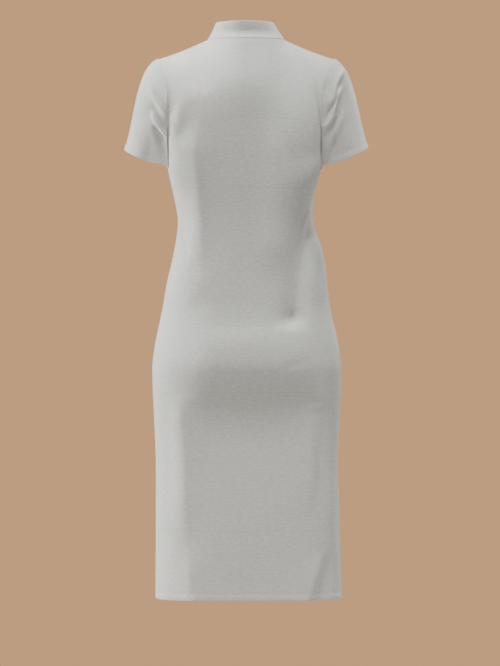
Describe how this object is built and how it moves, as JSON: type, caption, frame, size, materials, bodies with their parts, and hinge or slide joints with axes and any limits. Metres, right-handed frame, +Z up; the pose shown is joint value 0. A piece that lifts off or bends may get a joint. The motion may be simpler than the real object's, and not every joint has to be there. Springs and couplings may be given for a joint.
{
  "type": "bodycon dress",
  "caption": "Hollow worn form of a white knit bodycon midi dress with a stand collar and short set-in sleeves, open at the neck, cuffs and hem.",
  "frame": {"origin": "middle of the shoulder line at the base of the neck, where the wearer's shoulders carry the dress", "axes": "+Z up, -Y towards the front of the dress, +X towards the wearer's left"},
  "size_m": [0.458, 0.2502, 1.0828],
  "materials": {
    "knit": "matte fine knit",
    "collar_knit": "matte fine knit, folded double"
  },
  "bodies": {
    "root": {"back_panel": "knit", "front_panel": "knit", "sleeve_left": "knit", "sleeve_right": "knit", "collar": "collar_knit", "skirt_hem": "knit", "sleeve_hem_left": "knit", "sleeve_hem_right": "knit"}
  },
  "joints": []
}
